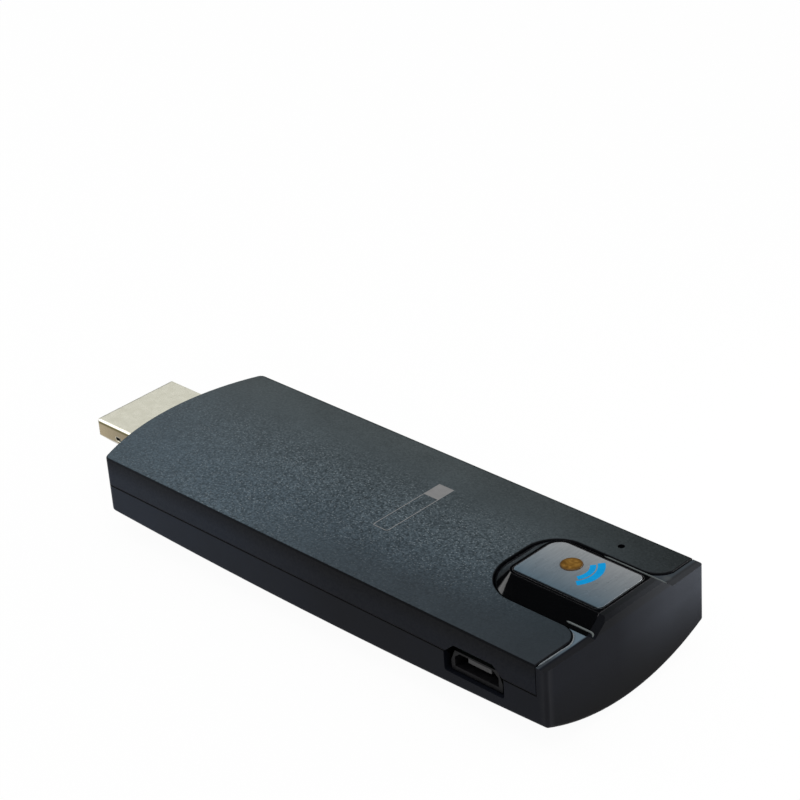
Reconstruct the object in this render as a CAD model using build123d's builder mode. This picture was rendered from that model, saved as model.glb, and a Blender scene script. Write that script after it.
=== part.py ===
from build123d import *
from math import atan, degrees, sqrt
import os

# Wireless display dongle: a stick casing with a display plug, a power inlet and one large mode key.
# Millimetres. X runs along the stick from the plug to the key end, Y to the far side, Z up.
# The origin is under the middle of the whole outline, on the surface that the stick lies on.

os.makedirs("parts", exist_ok=True)

# Casing
body_length = 78.3
body_width = 29.0
body_height = 12.2
cover_height = 4.25
belly_drop = 3.2
belly_rise = 0.8
plug_end_bulge = 3.2
key_end_bulge = 0.2
plug_corner_radius = 1.1
key_corner_radius = 0.5
base_edge_radius = 0.45
cover_edge_radius = 0.3
side_wall = 1.2
floor_thickness = 1.0
roof_thickness = 1.0
seam_gap = 0.12
contact_gap = 0.03
tongue_height = 0.8
tongue_thickness = 0.5
tongue_clearance = 0.05
ledge_depth = 1.55
ledge_drop = 0.25
ledge_edge_radius = 0.2
step_depth = 1.0

# Snap hooks that hold the cover down
hook_width = 4.0
hook_reach = 1.1
hook_bump = 0.2
hook_bump_height = 0.5
hook_clearance = 0.1
hook_setback = 9.5
hook_pitch = 19.0
hook_count = 3

# Notch in the cover, and the bezel that stands in it
notch_length = 17.5
notch_width = 14.6
notch_side_setback = 6.0
notch_near_radius = 6.2
notch_far_radius = 4.6
notch_flare = 3.0
notch_end_radius = 1.0
bezel_gap = 0.12
bezel_rise = 1.7
bezel_wall = 1.1
bezel_top = 1.1
bezel_flange_width = 1.0
bezel_flange_thickness = 0.8
end_web = 1.05
end_web_chamfer = 0.45

# Mode key
key_length = 13.75
key_width = 8.6
key_near_radius = 0.9
key_far_radius = 1.9
key_gap = 0.15
key_rim = 0.4
key_proud = 0.06
key_plate = 0.8
key_skirt = 0.8
key_skirt_depth = 1.9
key_face_thickness = 0.25
key_tab_width = 0.5
key_tab_thickness = 0.6
key_tab_length = 4.0
key_travel = 0.3
plunger_diameter = 2.6
lens_diameter = 2.9
lens_setback = 8.7
lens_offset = 1.0
lens_pipe_diameter = 1.8
lens_pipe_gap = 0.45
lens_rise = 0.12

# Display plug
plug_reach = 7.5
plug_width = 13.9
plug_height = 4.45
plug_top_drop = 1.25
plug_bevel_width = 1.85
plug_bevel_height = 1.95
plug_edge_radius = 0.35
plug_metal = 0.3
plug_inside_length = 9.0
plug_opening_gap = 0.1
plug_collar = 0.6
plug_mouth_recess = 0.6
plug_slot_width = 11.4
plug_slot_height = 2.3
plug_slot_depth = 7.6
plug_dimple_length = 1.1
plug_dimple_height = 0.6
plug_dimple_setback = 3.45
plug_contact_pitch = 1.0
plug_contact_width = 0.45
plug_contact_thickness = 0.15
plug_upper_contacts = 10
plug_lower_contacts = 9
plug_tail = 1.5

# Power inlet on the near side
port_setback = 11.5
port_width = 9.6
port_height = 4.2
port_drop = 7.05
port_chamfer_width = 1.7
port_chamfer_height = 1.5
port_corner_radius = 0.4
inlet_width = 7.5
inlet_height = 2.5
inlet_narrowing = 0.8
inlet_side_height = 1.3
inlet_depth = 5.2
inlet_metal = 0.25
inlet_setback = 0.55
inlet_lip = 0.35
inlet_base = 1.2
inlet_tongue_width = 3.7
inlet_tongue_height = 0.65
inlet_tongue_drop = 0.55
inlet_tongue_setback = 0.6
inlet_foot_width = 1.1
inlet_contact_pitch = 0.65
inlet_contact_width = 0.35
inlet_contact_thickness = 0.12
inlet_contacts_count = 5

# Main board and what holds it
board_thickness = 1.0
board_clearance = 0.35
board_corner_radius = 1.0
post_diameter = 3.6
post_setback = 10.5
post_side_setback = 5.15
post_pitch = 46.0
screw_diameter = 1.6
screw_length = 3.6
screw_head_diameter = 2.8
screw_head_height = 0.7
screw_socket_diameter = 1.2
screw_socket_depth = 0.35
board_hole_diameter = 1.9
rib_thickness = 0.8
rib_length = 5.0

# Chips and other parts on the board
processor_size = 13.0
processor_height = 1.1
processor_setback = 25.0
spreader_length = 34.0
spreader_width = 21.0
spreader_thickness = 0.3
pad_size = 11.5
memory_length = 10.6
memory_width = 8.0
memory_height = 1.0
memory_setback = 42.0
memory_spacing = 12.0
flash_length = 5.2
flash_width = 5.3
flash_height = 1.5
flash_leg_reach = 0.9
flash_leg_width = 0.4
flash_leg_height = 0.2
flash_leg_pitch = 1.27
flash_setback = 53.0
flash_side_setback = 7.9
power_chip_size = 4.0
power_chip_height = 0.85
power_chip_setback = 16.0
inductor_size = 4.0
inductor_height = 1.9
inductor_pitch = 6.0
inductor_chamfer = 0.5
capacitor_length = 1.6
capacitor_width = 0.8
capacitor_height = 0.8
capacitor_pitch = 2.4
capacitor_row = 6
resistor_length = 1.0
resistor_width = 0.5
resistor_height = 0.35
resistor_pitch = 1.3
resistor_row = 7
crystal_length = 3.2
crystal_width = 2.5
crystal_height = 0.8
shield_length = 14.0
shield_width = 12.0
shield_height = 1.8
shield_metal = 0.2
radio_chip_size = 7.0
radio_chip_height = 0.9
radio_setback = 44.0
antenna_length = 16.0
antenna_height = 2.4
antenna_metal = 0.3
antenna_foot_length = 1.5
antenna_foot_width = 1.2
antenna_setback = 52.0
light_length = 1.6
light_width = 0.8
light_height = 0.55

# Switches
key_switch_size = 5.2
key_switch_height = 1.6
key_switch_cover = 0.2
key_switch_stem = 2.2
key_switch_stem_rise = 0.7
key_switch_setback = 3.9
switch_floor = 0.45
stem_clearance = 0.08
reset_setback = 8.45
reset_side_setback = 3.4
reset_hole_diameter = 0.9
reset_length = 3.2
reset_width = 2.6
reset_height = 1.2
reset_stem = 1.2
reset_stem_rise = 0.45
reset_travel = 0.25

# Label on the underside
label_length = 44.0
label_width = 20.0
label_thickness = 0.15
label_recess = 0.15
label_corner_radius = 1.5

# Places along the stick
half_width = body_width / 2
x_plug_corner = -(body_length + key_end_bulge - plug_end_bulge - plug_reach) / 2
x_plug_apex = x_plug_corner - plug_end_bulge
x_plug_tip = x_plug_apex - plug_reach
x_end = x_plug_corner + body_length
x_middle = (x_plug_corner + x_end) / 2
x_seam = x_end - ledge_depth
x_end_inner = x_seam - step_depth
x_web = x_end - end_web
x_notch = x_seam - notch_length
x_reset = x_seam - reset_setback
x_key_end = x_web - contact_gap - key_rim - key_gap
x_key_inner = x_key_end - key_length
x_lens = x_key_end - lens_setback
x_plug_rear = x_plug_apex + plug_inside_length
x_board_front = x_plug_rear
x_board_end = x_end_inner - board_clearance
x_port = x_end - port_setback
y_board = half_width - side_wall - board_clearance
notch_offset = half_width - notch_side_setback - notch_width / 2
y_post = half_width - post_side_setback
y_flash = flash_side_setback - half_width
y_reset = half_width - reset_side_setback

# Heights
parting_height = body_height - cover_height
z_port = body_height - port_drop
shell_top = parting_height - seam_gap / 2
cover_bottom = parting_height + seam_gap / 2
z_tongue_end = shell_top - tongue_height + tongue_clearance
z_hook_bottom = z_tongue_end - hook_reach
z_roof = body_height - roof_thickness
z_ledge = body_height - ledge_drop
z_rim = body_height + bezel_rise
z_key_top = z_rim + key_proud
z_key_cap = z_key_top - key_face_thickness
z_bezel_bottom = z_roof - bezel_flange_thickness
z_bezel_under = z_rim - bezel_top
z_plug_top = body_height - plug_top_drop
z_plug_bottom = z_plug_top - plug_height
z_plug_middle = z_plug_top - plug_height / 2
z_board = z_plug_middle - board_thickness / 2
z_board_top = z_board + board_thickness
z_key_skirt = z_key_cap - key_skirt_depth
z_stem_top = z_board_top + key_switch_height + key_switch_cover + key_switch_stem_rise

# Sides of the notch and the key
y_notch_near = notch_offset - notch_width / 2
y_notch_far = notch_offset + notch_width / 2
y_key_near = notch_offset - key_width / 2
y_key_far = notch_offset + key_width / 2


def plan_outline(inset, x_far):
    """Plan of the casing, drawn in from its skin by inset: an arc at the plug, a straight end at x_far."""
    skin_radius = (half_width**2 + plug_end_bulge**2) / (2 * plug_end_bulge)
    centre_x = x_plug_apex + skin_radius
    radius = skin_radius - inset
    half = half_width - inset
    corner_x = centre_x - sqrt(radius**2 - half**2)
    with BuildSketch() as outline:
        with BuildLine():
            Line((x_far, -half), (corner_x, -half))
            ThreePointArc((corner_x, -half), (centre_x - radius, 0), (corner_x, half))
            Line((corner_x, half), (x_far, half))
            Line((x_far, half), (x_far, -half))
        make_face()
        corner_radius = max(plug_corner_radius - inset, plug_corner_radius / 4)
        fillet(outline.vertices().group_by(Axis.X)[0], corner_radius)
    return outline.sketch


def end_outline(bulge):
    """Plan of the block at the key end, from its inner face to an end face that bulges by this much."""
    with BuildSketch() as outline:
        with BuildLine():
            Line((x_end_inner, -half_width), (x_end, -half_width))
            ThreePointArc((x_end, -half_width), (x_end + bulge, 0), (x_end, half_width))
            Line((x_end, half_width), (x_end_inner, half_width))
            Line((x_end_inner, half_width), (x_end_inner, -half_width))
        make_face()
        fillet(outline.vertices().group_by(Axis.X)[-1], key_corner_radius)
    return outline.sketch


def belly_form(raised):
    """Everything above the casing's underside, which curves across and along, raised by this much."""
    across = (half_width**2 + belly_drop**2) / (2 * belly_drop)
    along = ((body_length / 2) ** 2 + belly_rise**2) / (2 * belly_rise)
    half = half_width + side_wall
    z_half = across - sqrt((across - raised) ** 2 - half**2)
    z_over = 2 * body_height
    swing_axis = Axis((x_middle, 0, along), (0, 1, 0))
    swing = 2 * degrees(atan(body_length / along))
    with BuildPart() as form:
        with BuildSketch(Plane.YZ.offset(x_middle)):
            with BuildLine():
                ThreePointArc((-half, z_half), (0, raised), (half, z_half))
                Polyline((half, z_half), (half, z_over), (-half, z_over), (-half, z_half))
            make_face()
        revolve(axis=swing_axis, revolution_arc=swing)
    return form.part.rotate(swing_axis, -swing / 2)


def over_belly(outline, raised, top):
    """Prism of this outline from the raised underside up to top."""
    with BuildPart() as prism:
        with BuildSketch():
            add(outline)
        extrude(amount=top)
        add(belly_form(raised), mode=Mode.INTERSECT)
    return prism.part


def under_belly(outline, raised):
    """Prism of this outline from below the stick up to the raised underside."""
    with BuildPart() as prism:
        with BuildSketch():
            add(outline)
        extrude(amount=parting_height)
        add(belly_form(raised), mode=Mode.SUBTRACT)
    return prism.part


def slot_outline(x_inner, x_outer, y_near, y_far, near_radius, far_radius):
    """Outline that is square at x_outer and rounded at its two corners at x_inner."""
    with BuildSketch() as outline:
        with BuildLine():
            Polyline((x_inner, y_near), (x_outer, y_near), (x_outer, y_far), (x_inner, y_far), close=True)
        make_face()
        fillet(outline.vertices().sort_by_distance((x_inner, y_near))[0], near_radius)
        fillet(outline.vertices().sort_by_distance((x_inner, y_far))[0], far_radius)
    return outline.sketch


def notch_outline(inset, x_outer):
    """Outline of the cover's notch, drawn in by inset."""
    return slot_outline(
        x_notch + inset, x_outer, y_notch_near + inset, y_notch_far - inset,
        notch_near_radius - inset, notch_far_radius - inset,
    )


def key_outline(outset):
    """Outline of the key, drawn out by outset, with its four corners rounded."""
    with BuildSketch() as outline:
        add(slot_outline(
            x_key_inner - outset, x_key_end + outset, y_key_near - outset, y_key_far + outset,
            key_near_radius + outset, key_far_radius + outset,
        ))
        fillet(outline.vertices().group_by(Axis.X)[-1], key_near_radius)
    return outline.sketch


def flare_corners(gap):
    """The two corners where the notch opens out to the cover's end, left short of the cover by gap."""
    with BuildSketch() as corners:
        for y_side, inward in ((y_notch_near, 1), (y_notch_far, -1)):
            with Locations((x_seam - notch_flare / 2, y_side - inward * notch_flare / 2)):
                Rectangle(notch_flare, notch_flare)
        for y_side, inward in ((y_notch_near, 1), (y_notch_far, -1)):
            with Locations((x_seam - notch_flare, y_side - inward * notch_flare)):
                Circle(notch_flare + gap, mode=Mode.SUBTRACT)
    return corners.sketch


def plug_profile(grow):
    """Cross-section of the display plug, drawn out by grow, with its two lower corners bevelled."""
    half = plug_width / 2 + grow
    top = z_plug_top + grow
    bottom = z_plug_bottom - grow
    with BuildSketch() as profile:
        with BuildLine():
            Polyline(
                (-half, top),
                (half, top),
                (half, bottom + plug_bevel_height),
                (half - plug_bevel_width, bottom),
                (-half + plug_bevel_width, bottom),
                (-half, bottom + plug_bevel_height),
                close=True,
            )
        make_face()
        fillet(profile.vertices().group_by(Axis.Y)[-1], plug_edge_radius + max(grow, -plug_edge_radius / 2))
    return profile.sketch


def port_profile():
    """Outline of the power inlet's cut-out in the side wall, with its two upper corners chamfered."""
    left = x_port - port_width / 2
    right = x_port + port_width / 2
    top = z_port + port_height
    with BuildSketch() as profile:
        with BuildLine():
            Polyline(
                (left, z_port),
                (right, z_port),
                (right, top - port_chamfer_height),
                (right - port_chamfer_width, top),
                (left + port_chamfer_width, top),
                (left, top - port_chamfer_height),
                close=True,
            )
        make_face()
        fillet(profile.vertices(), port_corner_radius)
    return profile.sketch


def inlet_profile(inset):
    """Cross-section of the power inlet under the board, drawn in by inset, narrower towards the board."""
    half = inlet_width / 2 - inset
    top = z_board - inset
    bottom = z_board - inlet_height + inset
    with BuildSketch() as profile:
        with BuildLine():
            Polyline(
                (x_port - half, bottom),
                (x_port + half, bottom),
                (x_port + half, bottom + inlet_side_height),
                (x_port + half - inlet_narrowing, top),
                (x_port - half + inlet_narrowing, top),
                (x_port - half, bottom + inlet_side_height),
                close=True,
            )
        make_face()
    return profile.sketch


# Places of the snap hooks along both sides, of the board's posts, and of the two posts that take screws
hook_places = [x_plug_corner + hook_setback + i * hook_pitch for i in range(hook_count)]
post_rows = [x_plug_corner + post_setback, x_plug_corner + post_setback + post_pitch]
post_places = [(x, side * y_post) for x in post_rows for side in (-1, 1)]
screw_places = [post_places[0], post_places[-1]]

# Lower shell: a tray with the wall of the key end standing at full height
with BuildPart() as lower_shell:
    with BuildSketch():
        add(plan_outline(0, x_end_inner))
    extrude(amount=shell_top)
    with BuildSketch():
        add(end_outline(key_end_bulge))
    extrude(amount=z_rim)
    add(belly_form(0), mode=Mode.INTERSECT)
    fillet(lower_shell.faces().sort_by(Axis.Z)[0].edges(), base_edge_radius)
    # hollow of the tray
    add(over_belly(plan_outline(side_wall, x_end_inner), floor_thickness, 2 * body_height), mode=Mode.SUBTRACT)
    # groove inside the rim for the cover's tongue
    with BuildSketch(Plane.XY.offset(shell_top - tongue_height)):
        add(plan_outline(side_wall - tongue_thickness, x_end_inner))
    extrude(amount=body_height, mode=Mode.SUBTRACT)
    # the end wall is cut back for the cover's side walls and roof
    with BuildSketch(Plane.XY.offset(shell_top)):
        for side in (-1, 1):
            with Locations((x_end_inner, side * half_width)):
                Rectangle(2 * step_depth, 2 * (side_wall + tongue_clearance))
    extrude(amount=body_height, mode=Mode.SUBTRACT)
    with BuildSketch(Plane.XY.offset(z_roof - contact_gap)):
        with Locations((x_end_inner, 0)):
            Rectangle(step_depth, body_width, align=(Align.MIN, Align.CENTER))
    extrude(amount=body_height, mode=Mode.SUBTRACT)
    # above the ledge only the web behind the bezel stays, with the bezel's sloping shoulders
    with BuildSketch(Plane.YZ.offset(x_end_inner)):
        with Locations((0, z_ledge)):
            Rectangle(body_width, body_height, align=(Align.CENTER, Align.MIN))
        with BuildLine():
            Polyline(
                (y_notch_near + bezel_gap, z_ledge),
                (y_key_near - key_gap - key_rim, z_rim),
                (y_key_far + key_gap + key_rim, z_rim),
                (y_notch_far - bezel_gap, z_ledge),
                close=True,
            )
        make_face(mode=Mode.SUBTRACT)
    extrude(amount=body_length, mode=Mode.SUBTRACT)
    web_edges = lower_shell.edges().filter_by_position(Axis.Z, z_rim, z_rim)
    chamfer(web_edges.sort_by(Axis.X)[-1], end_web_chamfer)
    ledge_edges = lower_shell.edges().filter_by_position(Axis.Z, z_ledge, z_ledge)
    fillet(ledge_edges.filter_by_position(Axis.X, x_web, x_end + key_end_bulge), ledge_edge_radius)
    # wings that fill the flared corners of the notch, level with the ledge
    with BuildSketch(Plane.XY.offset(z_ledge - bezel_flange_thickness)):
        add(flare_corners(bezel_gap))
    extrude(amount=bezel_flange_thickness)
    # seat of the bezel
    with BuildSketch(Plane.XY.offset(z_bezel_bottom)):
        with Locations((x_end_inner, notch_offset)):
            Rectangle(x_web - x_end_inner, notch_width, align=(Align.MIN, Align.CENTER))
    extrude(amount=body_height, mode=Mode.SUBTRACT)
    # pockets for the snap hooks, deeper at the bottom for their bumps
    pocket_width = hook_width + 4 * hook_clearance
    for depth, height in (
        (tongue_thickness, hook_reach + hook_clearance),
        (tongue_thickness + hook_bump, hook_bump_height + 2 * hook_clearance),
    ):
        with BuildSketch(Plane.XY.offset(z_hook_bottom - hook_clearance)):
            for side in (-1, 1):
                pocket_y = side * (half_width - side_wall + depth / 2)
                with Locations([(x, pocket_y) for x in hook_places]):
                    Rectangle(pocket_width, depth)
        extrude(amount=height, mode=Mode.SUBTRACT)
    # posts under the board, and the cradle under the plug
    with BuildSketch(mode=Mode.PRIVATE) as posts:
        with Locations(post_places):
            Circle(post_diameter / 2)
    add(over_belly(posts.sketch, floor_thickness / 2, z_board))
    with BuildSketch(mode=Mode.PRIVATE) as cradle:
        with Locations((x_plug_rear - rib_length / 2, 0)):
            Rectangle(rib_thickness, plug_width - 2 * plug_bevel_width)
    add(over_belly(cradle.sketch, floor_thickness / 2, z_plug_bottom))
    # screw holes
    with BuildSketch(Plane.XY.offset(z_board)):
        with Locations(screw_places):
            Circle(screw_diameter / 2 + contact_gap)
    extrude(amount=-(screw_length - board_thickness + hook_clearance), mode=Mode.SUBTRACT)
    # openings for the plug and the power inlet
    with BuildSketch(Plane.YZ.offset(x_plug_tip)):
        add(plug_profile(plug_opening_gap))
    extrude(amount=x_plug_corner + side_wall - x_plug_tip, mode=Mode.SUBTRACT)
    with BuildSketch(Plane.XZ.offset(half_width - 2 * side_wall)):
        add(port_profile())
    extrude(amount=3 * side_wall, mode=Mode.SUBTRACT)
    # shallow recess for the label
    with BuildSketch(mode=Mode.PRIVATE) as label_place:
        RectangleRounded(label_length, label_width, label_corner_radius)
    add(under_belly(label_place.sketch, label_recess), mode=Mode.SUBTRACT)
lower_shell.part.label = "lower_shell"
export_step(lower_shell.part, "parts/lower_shell.step")

# Top cover: roof and side walls, a tongue that enters the lower shell, snap hooks and the notch
with BuildPart() as top_cover:
    with BuildSketch(Plane.XY.offset(cover_bottom)):
        add(plan_outline(0, x_seam - seam_gap))
    extrude(amount=body_height - cover_bottom)
    with BuildSketch(Plane.XY.offset(body_height)):
        add(notch_outline(0, x_end))
        add(flare_corners(0))
    extrude(amount=-roof_thickness, mode=Mode.SUBTRACT)
    cover_end_edges = top_cover.edges().filter_by(Axis.Z).group_by(Axis.X)[-1]
    fillet(cover_end_edges.group_by(SortBy.LENGTH)[0], notch_end_radius)
    fillet(top_cover.edges().group_by(Axis.Z)[-1], cover_edge_radius)
    with BuildSketch(Plane.XY.offset(z_tongue_end)):
        add(plan_outline(side_wall - tongue_thickness + tongue_clearance, x_end_inner - seam_gap))
    extrude(amount=cover_bottom - z_tongue_end)
    # snap hooks run down from the tongue, each with a bump that catches in the lower shell
    hook_thickness = tongue_thickness - tongue_clearance
    for depth, height in ((hook_thickness, hook_reach), (hook_thickness + hook_bump, hook_bump_height)):
        with BuildSketch(Plane.XY.offset(z_hook_bottom)):
            for side in (-1, 1):
                hook_y = side * (half_width - side_wall + depth / 2)
                with Locations([(x, hook_y) for x in hook_places]):
                    Rectangle(hook_width, depth)
        extrude(amount=height)
    # hollow under the roof
    with BuildSketch(Plane.XY.offset(parting_height - body_height)):
        add(plan_outline(side_wall, x_end))
    extrude(amount=z_roof - parting_height + body_height, mode=Mode.SUBTRACT)
    # ribs that hold the board down, beside its screws and behind the plug
    with BuildSketch(Plane.XY.offset(z_board_top)):
        with Locations([(x, side * (y_board - rib_thickness)) for x in post_rows for side in (-1, 1)]):
            Rectangle(rib_length, rib_thickness)
        with Locations((x_plug_rear + plug_tail + rib_length, 0)):
            Rectangle(rib_thickness, 2 * rib_length)
    extrude(amount=z_roof - z_board_top)
    # openings for the plug and the power inlet, and the pinhole over the reset switch
    with BuildSketch(Plane.YZ.offset(x_plug_tip)):
        add(plug_profile(plug_opening_gap))
    extrude(amount=x_plug_corner + side_wall - x_plug_tip, mode=Mode.SUBTRACT)
    with BuildSketch(Plane.XZ.offset(half_width - 2 * side_wall)):
        add(port_profile())
    extrude(amount=3 * side_wall, mode=Mode.SUBTRACT)
    with BuildSketch(Plane.XY.offset(z_roof)):
        with Locations((x_reset, y_reset)):
            Circle(reset_hole_diameter / 2)
    extrude(amount=roof_thickness, mode=Mode.SUBTRACT)
top_cover.part.label = "top_cover"
export_step(top_cover.part, "parts/top_cover.step")

# Key bezel: a glossy hip-shaped block whose flange is trapped under the roof
with BuildPart() as key_bezel:
    with BuildSketch(Plane.XY.offset(z_bezel_bottom)):
        add(notch_outline(bezel_gap, x_web - contact_gap))
    extrude(amount=z_ledge - z_bezel_bottom)
    with BuildSketch(Plane.XY.offset(z_ledge)):
        add(notch_outline(bezel_gap, x_web - contact_gap))
    with BuildSketch(Plane.XY.offset(z_rim)):
        add(slot_outline(
            x_key_inner - key_gap - key_rim, x_web - contact_gap,
            y_key_near - key_gap - key_rim, y_key_far + key_gap + key_rim,
            key_near_radius + key_gap + key_rim, key_far_radius + key_gap + key_rim,
        ))
    loft(ruled=True)
    with BuildSketch(Plane.XY.offset(z_bezel_bottom)):
        add(notch_outline(-bezel_flange_width, x_end_inner - seam_gap))
    extrude(amount=bezel_flange_thickness - contact_gap)
    # hollow under the shoulders, open below
    with BuildSketch(Plane.XY.offset(z_bezel_bottom)):
        add(notch_outline(bezel_gap + bezel_wall, x_web - contact_gap - key_rim))
    extrude(amount=z_roof - z_bezel_bottom, mode=Mode.SUBTRACT)
    with BuildSketch(Plane.XY.offset(z_bezel_bottom)):
        add(key_outline(key_gap + key_tab_width + key_gap))
        with Locations((x_web - contact_gap - key_rim, notch_offset)):
            Rectangle(body_length, body_width, align=(Align.MIN, Align.CENTER), mode=Mode.SUBTRACT)
    extrude(amount=z_bezel_under - z_bezel_bottom, mode=Mode.SUBTRACT)
    # aperture for the key
    with BuildSketch(Plane.XY.offset(z_bezel_bottom)):
        add(key_outline(key_gap))
    extrude(amount=body_height, mode=Mode.SUBTRACT)
key_bezel.part.label = "key_bezel"
export_step(key_bezel.part, "parts/key_bezel.step")

# Mode key: a cap with two tabs that catch under the bezel, a plunger and the hole of its lens
with BuildPart() as mode_key:
    with BuildSketch(Plane.XY.offset(z_key_skirt)):
        add(key_outline(0))
    extrude(amount=z_key_cap - z_key_skirt)
    with BuildSketch(Plane.XY.offset(z_key_skirt)):
        add(key_outline(-key_skirt))
    extrude(amount=key_skirt_depth - key_plate, mode=Mode.SUBTRACT)
    with BuildSketch(Plane.XY.offset(z_bezel_under - key_gap - key_tab_thickness)):
        for y_side, outward in ((y_key_near, -1), (y_key_far, 1)):
            tab_y = y_side + outward * (key_gap + key_tab_width - key_skirt) / 2
            with Locations((x_key_inner + key_length / 2, tab_y)):
                Rectangle(key_tab_length, key_gap + key_tab_width + key_skirt)
    extrude(amount=key_tab_thickness)
    with BuildSketch(Plane.XY.offset(z_stem_top + contact_gap)):
        with Locations((x_key_end - key_switch_setback, notch_offset)):
            Circle(plunger_diameter / 2)
    extrude(amount=z_key_cap - key_plate - z_stem_top - contact_gap)
    with BuildSketch(Plane.XY.offset(z_key_skirt)):
        with Locations((x_lens, notch_offset + lens_offset)):
            Circle(lens_diameter / 2)
    extrude(amount=body_height, mode=Mode.SUBTRACT)
mode_key.part.label = "mode_key"
export_step(mode_key.part, "parts/mode_key.step")

# Key face: a thin plate bonded on the cap
with BuildPart() as key_face:
    with BuildSketch(Plane.XY.offset(z_key_cap)):
        add(key_outline(0))
        with Locations((x_lens, notch_offset + lens_offset)):
            Circle(lens_diameter / 2, mode=Mode.SUBTRACT)
    extrude(amount=key_face_thickness)
key_face.part.label = "key_face"
export_step(key_face.part, "parts/key_face.step")

# Indicator lens: a disc in the key with a light pipe under it
with BuildPart() as indicator_lens:
    with BuildSketch(Plane.XY.offset(z_key_cap - key_plate)):
        with Locations((x_lens, notch_offset + lens_offset)):
            Circle(lens_diameter / 2 - contact_gap)
    extrude(amount=key_plate + key_face_thickness + lens_rise)
    fillet(indicator_lens.edges().group_by(Axis.Z)[-1], lens_rise)
    with BuildSketch(Plane.XY.offset(z_board_top + light_height + lens_pipe_gap)):
        with Locations((x_lens, notch_offset + lens_offset)):
            Circle(lens_pipe_diameter / 2)
    extrude(amount=z_key_cap - key_plate - z_board_top - light_height - lens_pipe_gap)
indicator_lens.part.label = "indicator_lens"
export_step(indicator_lens.part, "parts/indicator_lens.step")

# Display plug: folded metal shell with a collar behind the casing's wall
with BuildPart() as plug_shell:
    with BuildSketch(Plane.YZ.offset(x_plug_tip)):
        add(plug_profile(0))
        add(plug_profile(-plug_metal), mode=Mode.SUBTRACT)
    extrude(amount=x_plug_rear - x_plug_tip)
    with BuildSketch(Plane.YZ.offset(x_plug_corner + side_wall + plug_opening_gap)):
        with Locations((0, z_plug_middle)):
            Rectangle(plug_width + 2 * plug_collar, plug_height)
        add(plug_profile(-plug_metal), mode=Mode.SUBTRACT)
    extrude(amount=plug_collar)
    z_dimple = z_plug_bottom + plug_bevel_height + plug_dimple_height
    with BuildSketch(Plane.XZ.offset(-plug_width)):
        with Locations((x_plug_apex - plug_dimple_setback, z_dimple)):
            SlotOverall(plug_dimple_length, plug_dimple_height)
    extrude(amount=2 * plug_width, mode=Mode.SUBTRACT)
plug_shell.part.label = "plug_shell"
export_step(plug_shell.part, "parts/plug_shell.step")

# Plug contacts: strips along the slot's ceiling and floor that step down onto the board's two faces
x_mouth = x_plug_tip + plug_mouth_recess
x_slot_end = x_mouth + plug_slot_depth
z_slot_top = z_plug_middle + plug_slot_height / 2


def plug_contacts(count, upper):
    """One row of plug contacts, on the upper or the lower side of the slot."""
    inner = z_slot_top - plug_contact_thickness
    with BuildPart() as row:
        with BuildSketch(Plane.XZ):
            with BuildLine():
                Polyline(
                    (x_mouth + plug_mouth_recess, z_slot_top),
                    (x_slot_end + 2 * plug_contact_thickness, z_slot_top),
                    (x_slot_end + 2 * plug_contact_thickness, z_board_top + plug_contact_thickness),
                    (x_board_front + plug_tail, z_board_top + plug_contact_thickness),
                    (x_board_front + plug_tail, z_board_top),
                    (x_slot_end + plug_contact_thickness, z_board_top),
                    (x_slot_end + plug_contact_thickness, inner),
                    (x_mouth + plug_mouth_recess, inner),
                    close=True,
                )
            make_face()
        extrude(amount=plug_contact_width / 2, both=True)
    strip = row.part
    if not upper:
        strip = mirror(strip, about=Plane.XY.offset(z_plug_middle))
    places = [(i - (count - 1) / 2) * plug_contact_pitch for i in range(count)]
    return Compound(children=[Pos(0, y, 0) * strip for y in places])


plug_contacts_upper = plug_contacts(plug_upper_contacts, True)
plug_contacts_upper.label = "plug_contacts_upper"
export_step(plug_contacts_upper, "parts/plug_contacts_upper.step")
plug_contacts_lower = plug_contacts(plug_lower_contacts, False)
plug_contacts_lower.label = "plug_contacts_lower"
export_step(plug_contacts_lower, "parts/plug_contacts_lower.step")

# Plug insulator: fills the shell round the contact slot
with BuildPart() as plug_insulator:
    with BuildSketch(Plane.YZ.offset(x_mouth)):
        add(plug_profile(-plug_metal - contact_gap))
    extrude(amount=x_plug_rear - x_mouth)
    with BuildSketch(Plane.YZ.offset(x_mouth)):
        with Locations((0, z_plug_middle)):
            RectangleRounded(plug_slot_width, plug_slot_height, plug_slot_height / 8)
    extrude(amount=plug_slot_depth, mode=Mode.SUBTRACT)
    for contact in plug_contacts_upper.solids() + plug_contacts_lower.solids():
        add(contact, mode=Mode.SUBTRACT)
plug_insulator.part.label = "plug_insulator"
export_step(plug_insulator.part, "parts/plug_insulator.step")

# Power inlet: folded shell with a flared mouth and two solder wings under the board
y_inlet_mouth = half_width - inlet_setback
with BuildPart() as inlet_shell:
    with BuildSketch(Plane.XZ.offset(y_inlet_mouth - inlet_depth)):
        add(inlet_profile(0))
        add(inlet_profile(inlet_metal), mode=Mode.SUBTRACT)
    extrude(amount=inlet_depth)
    with BuildSketch(Plane.XZ.offset(y_inlet_mouth - inlet_metal)):
        add(inlet_profile(-inlet_lip))
        with Locations((x_port, z_board)):
            Rectangle(port_width, inlet_height, align=(Align.CENTER, Align.MIN), mode=Mode.SUBTRACT)
        add(inlet_profile(inlet_metal), mode=Mode.SUBTRACT)
    extrude(amount=inlet_metal)
    with BuildSketch(Plane.XY.offset(z_board - inlet_metal)):
        with Locations((x_port, -(y_inlet_mouth - inlet_depth / 2))):
            Rectangle(inlet_width - 2 * inlet_narrowing + 2 * inlet_foot_width, inlet_depth / 2)
            Rectangle(inlet_width - 2 * inlet_narrowing - inlet_metal, inlet_depth / 2, mode=Mode.SUBTRACT)
    extrude(amount=inlet_metal)
inlet_shell.part.label = "inlet_shell"
export_step(inlet_shell.part, "parts/inlet_shell.step")

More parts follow.
